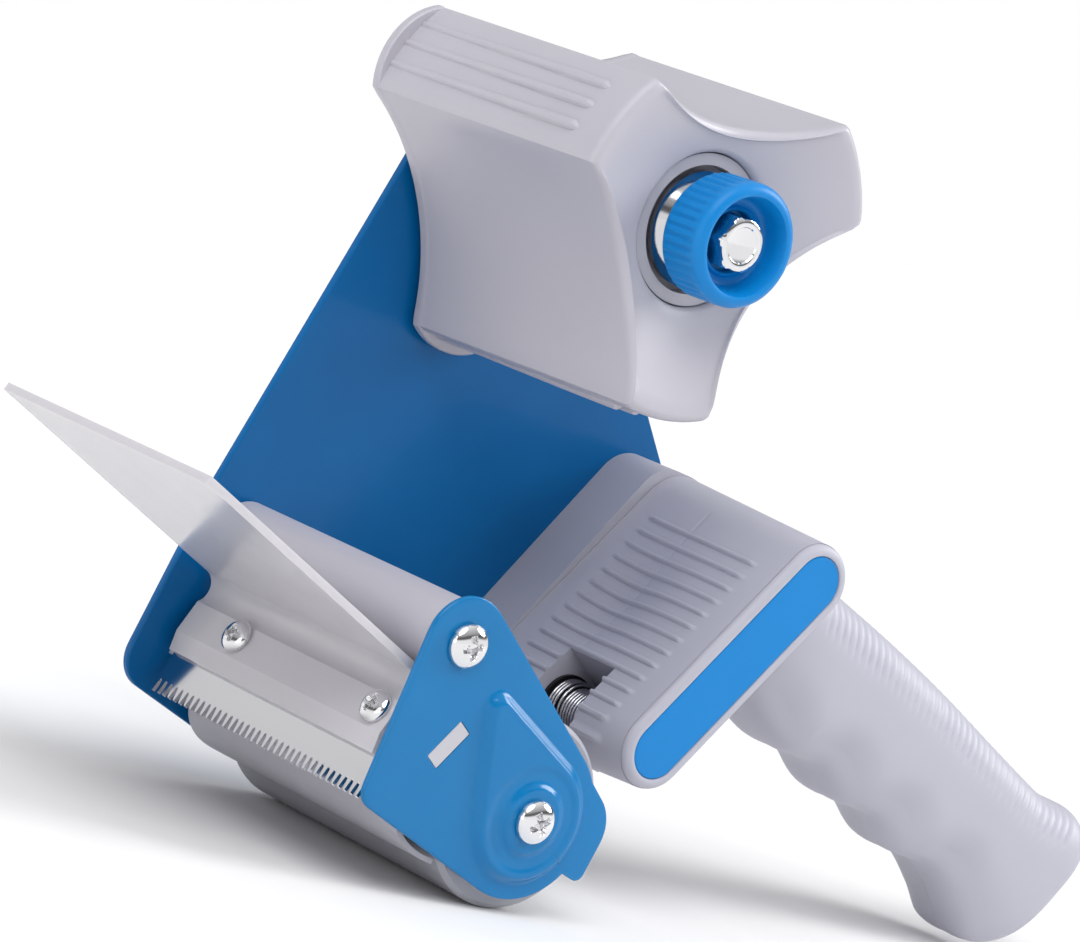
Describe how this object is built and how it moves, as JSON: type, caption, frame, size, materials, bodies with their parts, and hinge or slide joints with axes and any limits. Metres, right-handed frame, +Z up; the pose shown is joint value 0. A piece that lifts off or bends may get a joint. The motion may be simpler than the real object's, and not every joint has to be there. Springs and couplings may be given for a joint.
{
  "type": "tape gun dispenser",
  "caption": "Pistol-grip dispenser for wide packing tape: three-lobed braked hub, painted side plates, tape guide, toothed blade with wiper flap and applicator roller.",
  "frame": {"origin": "on the ground, at the middle of the overall length and width, with the applicator roller on the ground and the butt of the grip just clear of it, as held in use", "axes": "+X from the blade towards the grip, +Y from the open side towards the back plate, parallel to the hub axis, +Z up"},
  "size_m": [0.2826, 0.088, 0.163],
  "materials": {
    "blue_paint": "smooth glossy enamel with slight orange peel",
    "hub_plastic": "satin-gloss moulded light grey-white plastic",
    "grip_plastic": "fine matt moulded light grey plastic",
    "blue_plastic": "bright blue moulded plastic",
    "white_plastic": "white moulded plastic",
    "grey_plastic": "grey moulded plastic",
    "roller_rubber": "light grey rubber",
    "blade_steel": "polished steel strip",
    "chrome": "bright chrome plate",
    "zinc_steel": "bright zinc plate",
    "black_steel": "black oxide"
  },
  "bodies": {
    "frame": {"back_plate": "blue_paint", "side_plate": "blue_paint", "guide_spindle": "zinc_steel", "guide_screws": "chrome", "roller_axle": "zinc_steel", "roller_screws": "chrome", "blade_carrier": "white_plastic", "blade": "blade_steel", "flap": "hub_plastic", "flap_screws": "chrome", "tape_leaf": "grey_plastic", "handle_base": "grip_plastic", "handle_far_shell": "grip_plastic", "handle_near_shell": "grip_plastic", "end_insert": "blue_plastic", "grip_screws": "zinc_steel", "spring_pin": "zinc_steel", "spring_washer": "black_steel", "handle_spring": "zinc_steel", "hub_washer": "zinc_steel", "hub_nut": "zinc_steel"},
    "hub": {"hub_core": "hub_plastic", "hub_bushing": "grey_plastic", "friction_washer": "zinc_steel"},
    "brake_screw": {"hub_bolt": "zinc_steel", "brake_knob": "blue_plastic", "cup_washer": "chrome", "brake_spring": "zinc_steel"},
    "applicator": {"roller_core": "white_plastic", "roller_sleeve": "roller_rubber"},
    "guide": {"guide_roller": "hub_plastic"}
  },
  "joints": [
    {"name": "hub_spin", "type": "hinge", "parent": "frame", "child": "hub", "pos_m": [-0.042, 0, 0.135], "axis": [0, 1, 0], "continuous": true},
    {"name": "brake_turn", "type": "hinge", "parent": "frame", "child": "brake_screw", "pos_m": [-0.042, 0, 0.135], "axis": [0, 1, 0], "range_deg": [-270, 270]},
    {"name": "applicator_spin", "type": "hinge", "parent": "frame", "child": "applicator", "pos_m": [-0.0477, 0, 0.0193], "axis": [0, 1, 0], "continuous": true},
    {"name": "guide_spin", "type": "hinge", "parent": "frame", "child": "guide", "pos_m": [-0.0751, 0, 0.0495], "axis": [0, 1, 0], "continuous": true}
  ]
}
